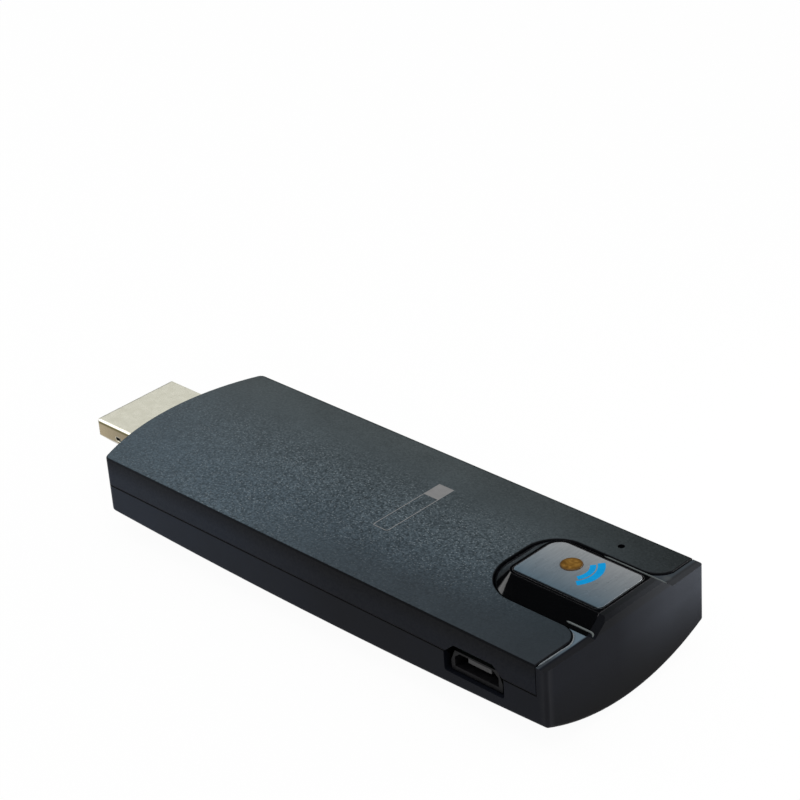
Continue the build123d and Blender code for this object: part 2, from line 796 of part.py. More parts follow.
# Contacts of the power inlet, let into the underside of the tongue
z_tongue_top = z_board - inlet_metal - inlet_tongue_drop
z_tongue = z_tongue_top - inlet_tongue_height
with BuildPart() as inlet_contacts:
    with BuildSketch(Plane.XY.offset(z_tongue)):
        with Locations((x_port, -(y_inlet_mouth - inlet_depth))):
            with GridLocations(inlet_contact_pitch, 1, inlet_contacts_count, 1):
                contact_length = inlet_depth - 2 * inlet_tongue_setback
                Rectangle(inlet_contact_width, contact_length, align=(Align.CENTER, Align.MAX))
    extrude(amount=inlet_contact_thickness)
inlet_contacts.part.label = "inlet_contacts"
export_step(inlet_contacts.part, "parts/inlet_contacts.step")

# Tongue of the power inlet, with the base that closes the shell's rear
with BuildPart() as inlet_tongue:
    with BuildSketch(Plane.XZ.offset(y_inlet_mouth - inlet_depth)):
        add(inlet_profile(inlet_metal + contact_gap))
    extrude(amount=inlet_base)
    with BuildSketch(Plane.XZ.offset(y_inlet_mouth - inlet_depth)):
        with Locations((x_port, z_tongue)):
            Rectangle(inlet_tongue_width, inlet_tongue_height, align=(Align.CENTER, Align.MIN))
    extrude(amount=inlet_depth - inlet_tongue_setback)
    add(inlet_contacts.part, mode=Mode.SUBTRACT)
inlet_tongue.part.label = "inlet_tongue"
export_step(inlet_tongue.part, "parts/inlet_tongue.step")

# Main board with its screw holes
with BuildPart() as main_board:
    with BuildSketch(Plane.XY.offset(z_board)):
        with Locations(((x_board_front + x_board_end) / 2, 0)):
            RectangleRounded(x_board_end - x_board_front, 2 * y_board, board_corner_radius)
        with Locations(screw_places):
            Circle(board_hole_diameter / 2, mode=Mode.SUBTRACT)
    extrude(amount=board_thickness)
main_board.part.label = "main_board"
export_step(main_board.part, "parts/main_board.step")

# Board screws, with a cross-shaped driver socket left as a round recess
with BuildPart() as board_screws:
    with BuildSketch(Plane.XY.offset(z_board_top - screw_length)):
        with Locations(screw_places):
            Circle(screw_diameter / 2)
    extrude(amount=screw_length)
    with BuildSketch(Plane.XY.offset(z_board_top)):
        with Locations(screw_places):
            Circle(screw_head_diameter / 2)
    extrude(amount=screw_head_height)
    fillet(board_screws.edges().group_by(Axis.Z)[-1], screw_head_height / 3)
    with BuildSketch(Plane.XY.offset(z_board_top + screw_head_height)):
        with Locations(screw_places):
            RegularPolygon(screw_socket_diameter / 2, 6)
    extrude(amount=-screw_socket_depth, mode=Mode.SUBTRACT)
board_screws.part.label = "board_screws"
export_step(board_screws.part, "parts/board_screws.step")


def block_on_board(places, length, width, height, edge=None):
    """Blocks of one size on the board's upper face, or hung under it where the height is below nought."""
    base = z_board_top if height > 0 else z_board
    with BuildPart() as blocks:
        with BuildSketch(Plane.XY.offset(base)):
            with Locations(places):
                Rectangle(length, width)
        extrude(amount=height)
        if edge:
            chamfer(blocks.edges().filter_by(Axis.Z), edge)
    return blocks.part


def save(piece, name):
    """Label a finished piece and write it."""
    piece.label = name
    export_step(piece, "parts/" + name + ".step")


# Processor, thermal pad and heat spreader, stacked between the board and the roof
x_processor = x_plug_corner + processor_setback
z_pad = z_board_top + processor_height
z_spreader = z_roof - spreader_thickness
processor = block_on_board([(x_processor, 0)], processor_size, processor_size, processor_height)
save(processor, "processor")

with BuildPart() as thermal_pad:
    with BuildSketch(Plane.XY.offset(z_pad)):
        with Locations((x_processor, 0)):
            Rectangle(pad_size, pad_size)
    extrude(amount=z_spreader - z_pad)
save(thermal_pad.part, "thermal_pad")

with BuildPart() as heat_spreader:
    with BuildSketch(Plane.XY.offset(z_spreader)):
        with Locations((x_processor + processor_size / 2, 0)):
            RectangleRounded(spreader_length, spreader_width, board_corner_radius)
    extrude(amount=spreader_thickness)
save(heat_spreader.part, "heat_spreader")

# Memory, flash and power chips
x_memory = x_plug_corner + memory_setback
memory_places = [(x_memory, side * memory_spacing / 2) for side in (-1, 1)]
save(block_on_board(memory_places, memory_width, memory_length, memory_height), "memory_chips")

x_flash = x_plug_corner + flash_setback
with BuildPart() as flash_chip:
    with BuildSketch(Plane.XY.offset(z_board_top + flash_leg_height)):
        with Locations((x_flash, y_flash)):
            Rectangle(flash_length, flash_width)
    extrude(amount=flash_height - flash_leg_height)
    with BuildSketch(Plane.XY.offset(z_board_top)):
        with Locations((x_flash, y_flash)):
            with GridLocations(flash_leg_pitch, 1, 4, 1):
                Rectangle(flash_leg_width, flash_width + 2 * flash_leg_reach)
    extrude(amount=flash_leg_height)
save(flash_chip.part, "flash_chip")

x_power = x_plug_corner + power_chip_setback
save(block_on_board([(x_power, 0)], power_chip_size, power_chip_size, -power_chip_height), "power_chip")

# Small parts in rows
inductor_places = [(x_power + side * inductor_pitch, 0) for side in (-1, 1)]
inductors = block_on_board(
    inductor_places, inductor_size, inductor_size, -inductor_height, inductor_chamfer
)
save(inductors, "inductors")

x_capacitor = x_processor - (capacitor_row - 1) / 2 * capacitor_pitch
capacitor_columns = [x_capacitor + i * capacitor_pitch for i in range(capacitor_row)]
y_capacitor = processor_size / 2 + 2 * capacitor_width
capacitor_places = [(x, side * y_capacitor) for x in capacitor_columns for side in (-1, 1)]
save(block_on_board(capacitor_places, capacitor_length, capacitor_width, capacitor_height), "capacitors")

resistor_places = [
    (x_memory + memory_width, (i - (resistor_row - 1) / 2) * resistor_pitch) for i in range(resistor_row)
]
save(block_on_board(resistor_places, resistor_length, resistor_width, resistor_height), "resistors")

x_crystal = (x_processor + x_memory) / 2
crystal_places = [(x_crystal, side * crystal_length) for side in (-1, 1)]
save(block_on_board(crystal_places, crystal_width, crystal_length, crystal_height), "crystals")

# Radio chip under its shield can, and two stamped antennas, all under the board
x_radio = x_plug_corner + radio_setback
save(block_on_board([(x_radio, 0)], radio_chip_size, radio_chip_size, -radio_chip_height), "radio_chip")

with BuildPart() as radio_shield:
    with BuildSketch(Plane.XY.offset(z_board)):
        with Locations((x_radio, 0)):
            RectangleRounded(shield_length, shield_width, 2 * shield_metal)
    extrude(amount=-shield_height)
    inside_length = shield_length - 2 * shield_metal
    inside_width = shield_width - 2 * shield_metal
    with BuildSketch(Plane.XY.offset(z_board)):
        with Locations((x_radio, 0)):
            RectangleRounded(inside_length, inside_width, shield_metal)
    extrude(amount=-(shield_height - shield_metal), mode=Mode.SUBTRACT)
save(radio_shield.part, "radio_shield")

x_antenna = x_plug_corner + antenna_setback
y_antenna = y_board - antenna_foot_width
antenna_places = [(x_antenna - antenna_length, -y_antenna), (x_antenna, y_antenna)]
foot_shift = (antenna_length - antenna_foot_length) / 2
with BuildPart() as antennas:
    with BuildSketch(Plane.XY.offset(z_board)):
        with Locations(antenna_places):
            Rectangle(antenna_length, antenna_metal)
    extrude(amount=-antenna_height)
    with BuildSketch(Plane.XY.offset(z_board)):
        with Locations([(x + side * foot_shift, y) for x, y in antenna_places for side in (-1, 1)]):
            Rectangle(antenna_foot_length, antenna_foot_width)
    extrude(amount=-antenna_metal)
save(antennas.part, "antennas")

# Status light under the lens
save(
    block_on_board([(x_lens, notch_offset + lens_offset)], light_length, light_width, light_height),
    "status_light",
)

# Mode switch under the key's plunger
x_switch = x_key_end - key_switch_setback
with BuildPart() as key_switch_body:
    with BuildSketch(Plane.XY.offset(z_board_top)):
        with Locations((x_switch, notch_offset)):
            Rectangle(key_switch_size, key_switch_size)
    extrude(amount=key_switch_height)
    with BuildSketch(Plane.XY.offset(z_board_top + switch_floor)):
        with Locations((x_switch, notch_offset)):
            Circle(key_switch_stem / 2 + stem_clearance)
    extrude(amount=key_switch_height, mode=Mode.SUBTRACT)
save(key_switch_body.part, "key_switch_body")

with BuildPart() as key_switch_plate:
    with BuildSketch(Plane.XY.offset(z_board_top + key_switch_height)):
        with Locations((x_switch, notch_offset)):
            Rectangle(key_switch_size, key_switch_size)
            Circle(key_switch_stem / 2 + stem_clearance, mode=Mode.SUBTRACT)
    extrude(amount=key_switch_cover)
save(key_switch_plate.part, "key_switch_cover")

with BuildPart() as key_stem:
    with BuildSketch(Plane.XY.offset(z_board_top + switch_floor + key_travel + stem_clearance)):
        with Locations((x_switch, notch_offset)):
            Circle(key_switch_stem / 2)
    extrude(amount=z_stem_top - z_board_top - switch_floor - key_travel - stem_clearance)
save(key_stem.part, "key_switch_stem")

# Reset switch under the pinhole
with BuildPart() as reset_switch_body:
    with BuildSketch(Plane.XY.offset(z_board_top)):
        with Locations((x_reset, y_reset)):
            Rectangle(reset_length, reset_width)
    extrude(amount=reset_height)
    with BuildSketch(Plane.XY.offset(z_board_top + switch_floor)):
        with Locations((x_reset, y_reset)):
            Circle(reset_stem / 2 + stem_clearance)
    extrude(amount=reset_height, mode=Mode.SUBTRACT)
save(reset_switch_body.part, "reset_switch_body")

with BuildPart() as reset_switch_stem:
    with BuildSketch(Plane.XY.offset(z_board_top + switch_floor + reset_travel + stem_clearance)):
        with Locations((x_reset, y_reset)):
            Circle(reset_stem / 2)
    extrude(amount=reset_height + reset_stem_rise - switch_floor - reset_travel - stem_clearance)
save(reset_switch_stem.part, "reset_switch_stem")

# Blank label in its recess under the casing
label_inset = 2 * seam_gap
with BuildSketch() as label_outline:
    RectangleRounded(label_length - label_inset, label_width - label_inset, label_corner_radius)
with BuildPart() as rating_label:
    add(under_belly(label_outline.sketch, label_recess))
    add(belly_form(label_recess - label_thickness), mode=Mode.INTERSECT)
save(rating_label.part, "rating_label")
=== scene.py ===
from math import cos, pi, radians, sin

import bmesh
import bpy
from mathutils import Matrix, Vector


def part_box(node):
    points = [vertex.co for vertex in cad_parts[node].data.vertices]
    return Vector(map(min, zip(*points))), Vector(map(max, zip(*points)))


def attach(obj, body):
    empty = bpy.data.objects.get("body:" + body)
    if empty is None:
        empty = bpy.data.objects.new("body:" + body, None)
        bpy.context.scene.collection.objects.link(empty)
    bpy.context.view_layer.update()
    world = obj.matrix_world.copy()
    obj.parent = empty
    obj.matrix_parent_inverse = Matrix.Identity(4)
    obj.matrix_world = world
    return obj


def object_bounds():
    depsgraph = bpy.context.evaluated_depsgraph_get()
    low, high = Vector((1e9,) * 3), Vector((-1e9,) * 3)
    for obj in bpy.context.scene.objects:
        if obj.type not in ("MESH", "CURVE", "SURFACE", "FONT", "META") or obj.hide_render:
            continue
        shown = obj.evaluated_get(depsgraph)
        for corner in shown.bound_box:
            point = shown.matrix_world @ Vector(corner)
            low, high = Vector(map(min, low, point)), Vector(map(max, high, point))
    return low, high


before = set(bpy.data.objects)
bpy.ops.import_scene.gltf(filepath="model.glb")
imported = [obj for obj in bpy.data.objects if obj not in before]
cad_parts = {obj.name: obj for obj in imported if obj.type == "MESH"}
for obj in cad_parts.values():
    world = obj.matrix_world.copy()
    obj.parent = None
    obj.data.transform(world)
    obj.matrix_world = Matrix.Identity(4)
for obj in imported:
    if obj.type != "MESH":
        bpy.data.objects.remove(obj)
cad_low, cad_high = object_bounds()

# Looks of the wireless display dongle: finishes for each part, the printed marks and the studio.
# Metres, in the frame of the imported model: X from the plug to the key end, Y to the far side, Z up.

mm = 0.001

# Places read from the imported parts
key_low, key_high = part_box("key_face")
bezel_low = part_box("key_bezel")[0]
lens_low, lens_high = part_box("indicator_lens")
cover_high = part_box("top_cover")[1]
plug_low, plug_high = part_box("plug_shell")
shell_low, shell_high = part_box("lower_shell")
lens_centre = (lens_low + lens_high) / 2
cover_end = cover_high.x
cover_top = cover_high.z
shell_end = shell_high.x

# The parting line between the cover and the lower shell, and the reach of its shade
parting_z = 7.95 * mm
parting_shade = 0.20 * mm

# Where the sides' painted light starts and stops to fade along the stick, from paler by the plug to darker by
# the key
side_fade = (-30 * mm, 10 * mm)

# Cloudy patterns lie nearly all within the wide range, and are parted into patches within the narrow one
cloud_range = (0.3, 0.7)
patch_range = (0.35, 0.65)

# Likeness of the rounded and the flat direction: wholly an edge up to the first, and none from the second on
edge_range = (0.80, 0.98)
edge_samples = 6


class Finish:
    """A material with one Principled surface, and short calls for the nodes that feed it."""

    def __init__(self, name, colour, roughness, metallic=0.0, specular=0.5):
        self.material = bpy.data.materials.new("finish_" + name)
        self.material.use_nodes = True
        self.nodes = self.material.node_tree.nodes
        self.links = self.material.node_tree.links
        self.surface = self.nodes["Principled BSDF"]
        self.set("Base Color", (*colour, 1.0))
        self.set("Roughness", roughness)
        self.set("Metallic", metallic)
        self.set("Specular IOR Level", specular)
        self.place = self.node("ShaderNodeTexCoord").outputs["Object"]
        self.normal = None

    def node(self, kind):
        return self.nodes.new(kind)

    def set(self, socket, value):
        self.surface.inputs[socket].default_value = value

    def feed(self, socket, source):
        self.links.new(source, self.surface.inputs[socket])

    def stretched(self, along_x, along_y, along_z):
        """The place, scaled along each axis, for textures that run one way."""
        mapping = self.node("ShaderNodeMapping")
        mapping.inputs["Scale"].default_value = (along_x, along_y, along_z)
        self.links.new(self.place, mapping.inputs["Vector"])
        return mapping.outputs["Vector"]

    def noise(self, size, detail=2.0, place=None):
        """Cloudy pattern from 0 to 1 whose patches are about size across."""
        texture = self.node("ShaderNodeTexNoise")
        texture.inputs["Scale"].default_value = 1 / size
        texture.inputs["Detail"].default_value = detail
        self.links.new(place or self.place, texture.inputs["Vector"])
        return texture.outputs["Fac"]

    def cells(self, size):
        """Distance from each cell's middle, and the cell's own random colour."""
        texture = self.node("ShaderNodeTexVoronoi")
        texture.inputs["Scale"].default_value = 1 / size
        self.links.new(self.place, texture.inputs["Vector"])
        return texture.outputs["Distance"], texture.outputs["Color"]

    def patchy(self, pattern):
        """0 or 1 over most of a cloudy pattern, with soft borders between the patches."""
        return self.blend(pattern, *patch_range, 0.0, 1.0)

    def gloss(self, pattern, low, high):
        """Roughness from low to high by a cloudy pattern."""
        self.feed("Roughness", self.blend(pattern, *cloud_range, low, high))

    def blend(self, source, low, high, at_low, at_high):
        """A number that goes from at_low to at_high as the source goes from low to high."""
        spread = self.node("ShaderNodeMapRange")
        spread.inputs["From Min"].default_value = low
        spread.inputs["From Max"].default_value = high
        spread.inputs["To Min"].default_value = at_low
        spread.inputs["To Max"].default_value = at_high
        self.links.new(source, spread.inputs["Value"])
        return spread.outputs["Result"]

    def join(self, operation, first, second):
        """Two numbers joined by one operation; the second may be a plain value."""
        joined = self.node("ShaderNodeMath")
        joined.operation = operation
        self.links.new(first, joined.inputs[0])
        if isinstance(second, float):
            joined.inputs[1].default_value = second
        else:
            self.links.new(second, joined.inputs[1])
        return joined.outputs["Value"]

    def both(self, first, second):
        """The product of two shares; the second may be a plain value."""
        return self.join("MULTIPLY", first, second)

    def grow(self, share, at_none, at_full):
        """A number that goes from at_none to at_full as a share goes from 0 to 1."""
        return self.blend(share, 0.0, 1.0, at_none, at_full)

    def tint(self, share, first, second):
        """Colour from first to second as share goes from 0 to 1; each is a colour or a socket."""
        mixer = self.node("ShaderNodeMix")
        mixer.data_type = "RGBA"
        self.links.new(share, mixer.inputs["Factor"])
        for socket, colour in ((mixer.inputs[6], first), (mixer.inputs[7], second)):
            if isinstance(colour, tuple):
                socket.default_value = (*colour, 1.0)
            else:
                self.links.new(colour, socket)
        return mixer.outputs[2]

    def part_of(self, place, axis):
        """One coordinate of a vector."""
        split = self.node("ShaderNodeSeparateXYZ")
        self.links.new(place, split.inputs[0])
        return split.outputs[axis]

    def along(self, axis, start, end):
        """0 up to start and 1 from end on, along one axis."""
        return self.blend(self.part_of(self.place, axis), start, end, 0.0, 1.0)

    def band(self, axis, middle, half):
        """1 along the middle of a band, and 0 from half its width on."""
        rising = self.along(axis, middle - half, middle - half / 2)
        return self.both(rising, self.along(axis, middle + half, middle + half / 2))

    def near_to(self, centre, inner, outer):
        """1 within inner of a point, and 0 from outer on."""
        away = self.node("ShaderNodeVectorMath")
        away.operation = "DISTANCE"
        self.links.new(self.place, away.inputs[0])
        away.inputs[1].default_value = centre
        return self.blend(away.outputs["Value"], inner, outer, 1.0, 0.0)

    def shade(self, colour, share):
        """The colour made darker or lighter by a number."""
        scaled = self.node("ShaderNodeVectorMath")
        scaled.operation = "SCALE"
        self.links.new(colour, scaled.inputs[0])
        self.links.new(share, scaled.inputs["Scale"])
        return scaled.outputs["Vector"]

    def dim(self, colour, share, least):
        """The colour, times least where the share is 1."""
        return self.shade(colour, self.grow(share, 1.0, least))

    def mottle(self, colour, pattern, depth, limits=cloud_range):
        """The colour made darker where a pattern is low, and as much lighter where it is high."""
        return self.shade(colour, self.blend(pattern, *limits, 1 - depth, 1 + depth))

    def normal_part(self, axis):
        """One coordinate of the surface's own direction."""
        return self.part_of(self.node("ShaderNodeTexCoord").outputs["Normal"], axis)

    def facing_up(self, low, high):
        """0 where the surface's upward part is low, and 1 where it is high."""
        return self.blend(self.normal_part("Z"), low, high, 0.0, 1.0)

    def soft_edges(self, radius):
        """Rounds the edges by shading alone, and returns how much each place is an edge, from 0 to 1."""
        rounding = self.node("ShaderNodeBevel")
        rounding.samples = edge_samples
        rounding.inputs["Radius"].default_value = radius
        self.normal = rounding.outputs["Normal"]
        flat = self.node("ShaderNodeNewGeometry")
        likeness = self.node("ShaderNodeVectorMath")
        likeness.operation = "DOT_PRODUCT"
        self.links.new(rounding.outputs["Normal"], likeness.inputs[0])
        self.links.new(flat.outputs["Normal"], likeness.inputs[1])
        self.feed("Normal", self.normal)
        return self.blend(likeness.outputs["Value"], *edge_range, 1.0, 0.0)

    def uneven_gloss(self, broad, low, high, fine, ripple):
        """Roughness from low to high by a broad pattern, with a small ripple from a fine one."""
        levels = self.blend(broad, *cloud_range, low, high)
        ripples = self.blend(fine, *cloud_range, -ripple, ripple)
        self.feed("Roughness", self.join("ADD", levels, ripples))

    def relief(self, height, depth, strength=1.0):
        """Adds a bump of this depth to the surface's normal."""
        bump = self.node("ShaderNodeBump")
        bump.inputs["Distance"].default_value = depth
        bump.inputs["Strength"].default_value = strength
        self.links.new(height, bump.inputs["Height"])
        if self.normal:
            self.links.new(self.normal, bump.inputs["Normal"])
        self.normal = bump.outputs["Normal"]
        self.feed("Normal", self.normal)


def moulded(name, colour, patch_colour, roughness, grain, relief, specular=0.5, edge=0.03 * mm):
    """Common finish: two close tones in patches, fine grain, uneven gloss and edges made slightly paler by
    wear.
    """
    low, high = roughness
    finish = Finish(name, colour, low, specular=specular)
    edge_wear_and_painted_light = finish.soft_edges(edge)
    patches = finish.noise(14 * grain, 3.0)
    fine = finish.noise(grain, 4.0)
    base = finish.tint(finish.patchy(patches), colour, patch_colour)
    lighter = tuple(min(1.0, 1.5 * c + 0.006) for c in colour)
    finish.feed("Base Color", finish.tint(edge_wear_and_painted_light, base, lighter))
    finish.uneven_gloss(patches, low, high, fine, 0.03)
    finish.relief(fine, relief)
    return finish.material


def speckled_cover():
    """Cover: an etched top with painted glints and painted light and shade, and smooth dark satin with
    painted light below its rounded edge.
    """
    near_tone = (0.048, 0.066, 0.080)
    far_tone = (0.048, 0.058, 0.061)
    glint_tone = (0.24, 0.28, 0.30)
    shaded_tone = (0.032, 0.038, 0.044)
    edge_tone = (0.012, 0.014, 0.017)
    side_by_plug = (0.0155, 0.0205, 0.0310)
    side_by_key = (0.0050, 0.0062, 0.0098)

    finish = Finish("speckled_cover", (0.04, 0.055, 0.07), 0.5, specular=0.05)
    edge_wear_and_painted_light = finish.soft_edges(0.04 * mm)
    top = finish.facing_up(0.80, 0.97)
    grain = finish.noise(0.30 * mm, 2.0)
    patches = finish.noise(9 * mm, 3.0)
    distance, random = finish.cells(0.27 * mm)

    # The painted glints and the coarse grain's contrast are strong in the middle, and weak by the plug, the
    # key, the far side and the near right edge
    middle = finish.both(finish.along("Y", 9 * mm, 2 * mm), finish.along("X", 36 * mm, 22 * mm))
    off_plug = finish.along("X", -34 * mm, -10 * mm)
    middle = finish.both(middle, finish.grow(off_plug, 0.30, 1.0))
    near_strip = finish.both(finish.along("Y", -8 * mm, -12 * mm), finish.along("X", -16 * mm, 6 * mm))
    middle = finish.both(middle, finish.grow(near_strip, 1.0, 0.35))

    # Base tone, coarse grain and single pale specks, which are painted glints
    etched = finish.tint(finish.along("Y", -8 * mm, 13 * mm), near_tone, far_tone)
    coarse = finish.both(finish.blend(grain, 0.34, 0.66, -1.0, 1.0), finish.grow(middle, 0.13, 0.48))
    etched = finish.mottle(etched, coarse, 1.0, (-1.0, 1.0))
    etched = finish.mottle(etched, patches, 0.07, patch_range)
    chosen = finish.blend(finish.part_of(random, "X"), 0.45, 0.95, 0.0, 1.0)
    painted_glint = finish.both(finish.blend(distance, 0.15, 0.50, 1.0, 0.0), chosen)
    painted_glint = finish.both(painted_glint, finish.grow(middle, 0.05, 0.60))
    etched = finish.tint(painted_glint, etched, glint_tone)

    # Painted light and shade: paler by the plug, and darker by the key, at the near right and at the far
    # right
    from_plug = finish.along("X", -35 * mm, -4 * mm)
    etched = finish.shade(etched, finish.grow(from_plug, 1.24, 1.13))
    by_key = finish.along("X", 24 * mm, 42 * mm)
    etched = finish.dim(etched, by_key, 0.47)
    near_right = finish.both(finish.along("X", -8 * mm, 20 * mm), finish.along("Y", -3 * mm, -11 * mm))
    etched = finish.dim(etched, near_right, 0.68)
    etched = finish.tint(finish.both(near_right, 0.5), etched, shaded_tone)
    far_right = finish.both(finish.along("X", 0.0, 30 * mm), finish.along("Y", 4 * mm, 13 * mm))
    etched = finish.dim(etched, far_right, 0.70)
    # Painted shade: darker along the rounded edges, and darker still along the far edge
    etched = finish.tint(edge_wear_and_painted_light, etched, edge_tone)
    far_edge_shade = finish.along("Y", cover_high.y - 0.55 * mm, cover_high.y - 0.25 * mm)
    etched = finish.dim(etched, far_edge_shade, 0.55)

    # Sides: painted light, paler by the plug and darker by the key, and darkest at the top and in the parting
    # line
    side = finish.tint(finish.along("X", *side_fade), side_by_plug, side_by_key)
    side = finish.mottle(side, patches, 0.12)
    rising = finish.along("Z", cover_top - 2.6 * mm, cover_top)
    side = finish.dim(side, rising, 0.25)
    parting = finish.along("Z", parting_z + parting_shade, parting_z + parting_shade / 2)
    side = finish.dim(side, parting, 0.15)

    finish.feed("Base Color", finish.tint(top, side, etched))
    finish.uneven_gloss(grain, 0.40, 0.58, patches, 0.04)
    finish.relief(finish.both(grain, top), 0.03 * mm, 0.8)
    return finish.material


def satin_sides(finish, patches, edge_wear_and_painted_light):
    """Tone of the lower shell's sides and end face, with painted light and shade: paler by the plug and
    darker by the key, a painted sheen on the end face's far half, painted shade low on the end face and a
    painted highlight on its near corner; and the dark parting line.
    """
    by_plug = (0.0155, 0.0205, 0.0310)
    by_key = (0.0052, 0.0062, 0.0095)
    lit_tone = (0.043, 0.048, 0.059)
    low_shade_tone = (0.0014, 0.0015, 0.0022)
    corner_highlight_tone = (0.0130, 0.0135, 0.0165)
    edge_tone = (0.009, 0.010, 0.013)

    # Painted light along the stick: paler by the plug, darker by the key
    satin = finish.tint(finish.along("X", *side_fade), by_plug, by_key)
    # Painted sheen on the far half of the end face, and painted shade low on it
    end_face = finish.along("X", shell_end - 0.8 * mm, shell_end - 0.4 * mm)
    far_half = finish.along("Y", -2 * mm, 15 * mm)
    rising = finish.along("Z", shell_low.z - 4 * mm, cover_top)
    satin = finish.tint(finish.both(finish.both(end_face, far_half), rising), satin, lit_tone)
    falling = finish.along("Z", 9 * mm, 2 * mm)
    satin = finish.tint(finish.both(end_face, falling), satin, low_shade_tone)
    # Painted highlight on the end's near corner
    near_corner_highlight = finish.both(
        finish.along("X", shell_end - 1.5 * mm, shell_end - 0.5 * mm),
        finish.along("Y", shell_low.y + 1.3 * mm, shell_low.y + 0.4 * mm),
    )
    satin = finish.tint(near_corner_highlight, satin, corner_highlight_tone)
    satin = finish.mottle(satin, patches, 0.12)
    under_cover = finish.along("X", cover_end + 0.3 * mm, cover_end)
    parting = finish.both(finish.band("Z", parting_z, parting_shade), under_cover)
    satin = finish.dim(satin, parting, 0.15)
    return finish.tint(finish.grow(edge_wear_and_painted_light, 0.0, 0.5), satin, edge_tone)


def satin_shell():
    """Lower shell: near-black navy satin, with painted highlights and a painted reflection on the ledge and
    wings beside the cover's end.
    """
    raised_side = ((0.004, 0.0045, 0.006), (0.024, 0.026, 0.030))
    raised_top = ((0.008, 0.009, 0.010), (0.026, 0.028, 0.031))
    outer_strip = ((0.0125, 0.0130, 0.0148), (0.034, 0.036, 0.040))
    outer_shade_tones = ((0.0070, 0.0080, 0.0115), (0.026, 0.028, 0.031))
    highlight_strip_tone = (0.040, 0.048, 0.056)
    wing_reflection_tone = (0.115, 0.158, 0.195)
    tip_highlight_tone = (0.060, 0.066, 0.070)
    wing_centre = (cover_end - 0.2 * mm, -7.6 * mm, cover_top)
    tip_centre = (cover_end + 0.2 * mm, 9.3 * mm, cover_top)

    finish = Finish("satin_shell", (0.006, 0.007, 0.010), 0.4, specular=0.04)
    edge_wear_and_painted_light = finish.soft_edges(0.05 * mm)
    patches = finish.noise(6 * mm, 3.0)
    fine = finish.noise(0.22 * mm, 4.0)
    satin = satin_sides(finish, patches, edge_wear_and_painted_light)

    # Each pair of tones goes from the near side to the far side
    across = finish.along("Y", -3 * mm, 8 * mm)
    raised = finish.along("Z", cover_top - 0.1 * mm, cover_top + 0.1 * mm)
    satin = finish.tint(raised, satin, finish.tint(across, *raised_side))

    # Ledge: a painted highlight strip beside the cover's end, then a middle strip, then darker painted shade
    # out to the outer edge; a painted reflection on the near wing and a painted highlight at the far tip
    inner = finish.along("X", cover_end + 0.70 * mm, cover_end + 0.45 * mm)
    outer_shade = finish.along("X", cover_end + 1.05 * mm, cover_end + 0.80 * mm)
    outer = finish.tint(outer_shade, finish.tint(across, *outer_strip), finish.tint(across, *outer_shade_tones))
    ledge_painted_light = finish.tint(inner, outer, highlight_strip_tone)
    wing_reflection = finish.near_to(wing_centre, 1.6 * mm, 5.0 * mm)
    ledge_painted_light = finish.tint(finish.both(inner, wing_reflection), ledge_painted_light, wing_reflection_tone)
    far_tip_highlight = finish.near_to(tip_centre, 0.25 * mm, 0.75 * mm)
    ledge_painted_light = finish.tint(far_tip_highlight, ledge_painted_light, tip_highlight_tone)
    ledge_painted_light = finish.tint(raised, ledge_painted_light, finish.tint(across, *raised_top))
    high_up = finish.along("Z", cover_top - 1.2 * mm, cover_top - 0.8 * mm)
    on_ledge = finish.both(finish.facing_up(0.90, 0.99), high_up)

    finish.feed("Base Color", finish.tint(on_ledge, satin, ledge_painted_light))
    finish.uneven_gloss(patches, 0.36, 0.44, fine, 0.03)
    finish.relief(fine, 0.003 * mm)
    return finish.material


def gloss_black(name, edge_tone, highlight_from=0.0, crisp=False, steps=(), reflection_lines_end=0.0):
    """Polished jet black with moulding waves and smears, a painted edge highlight above a height, and painted
    reflection lines.
    """
    jet = (0.0022, 0.0024, 0.0028)
    finish = Finish(name, jet, 0.05, specular=0.4)
    edge_wear_and_painted_light = finish.soft_edges(0.14 * mm)
    if crisp:
        finish.normal = None
    # Painted highlight on the edges, only above a height
    edge_wear_and_painted_light = finish.both(edge_wear_and_painted_light, finish.along("Z", highlight_from, highlight_from + 0.05 * mm))
    base = finish.tint(edge_wear_and_painted_light, jet, edge_tone)
    # Painted reflection lines: paler bands at given heights, off the near side and towards the rounded end
    if steps:
        off_near_side = finish.blend(finish.normal_part("Y"), -0.40, -0.05, 0.0, 1.0)
        shown = finish.both(off_near_side, finish.along("X", reflection_lines_end, reflection_lines_end - 1.5 * mm))
    for height, half, tone in steps:
        base = finish.tint(finish.both(finish.band("Z", height, half), shown), base, tone)
    finish.feed("Base Color", base)
    smears = finish.noise(2.4 * mm, 3.0, finish.stretched(0.5, 1.0, 1.0))
    finish.feed("Roughness", finish.blend(smears, 0.35, 0.75, 0.035, 0.11))
    finish.relief(finish.noise(1.8 * mm, 1.0), 0.006 * mm)
    return finish.material


def bezel_black():
    """Key bezel: gloss black with crisp edges, a painted highlight round its top, and painted reflection
    lines on its rounded end.
    """
    faint = (0.024, 0.026, 0.029)
    clear = (0.050, 0.053, 0.058)
    # Painted reflection lines on the rounded end: height, half width and tone of each
    steps = [
        (12.45 * mm, 0.14 * mm, faint),
        (13.00 * mm, 0.14 * mm, clear),
        (13.50 * mm, 0.12 * mm, faint),
    ]
    # Tone of the painted highlight round the top
    edge_tone = (0.115, 0.112, 0.118)
    return gloss_black("bezel_black", edge_tone, 13.6 * mm, True, steps, bezel_low.x + 5 * mm)


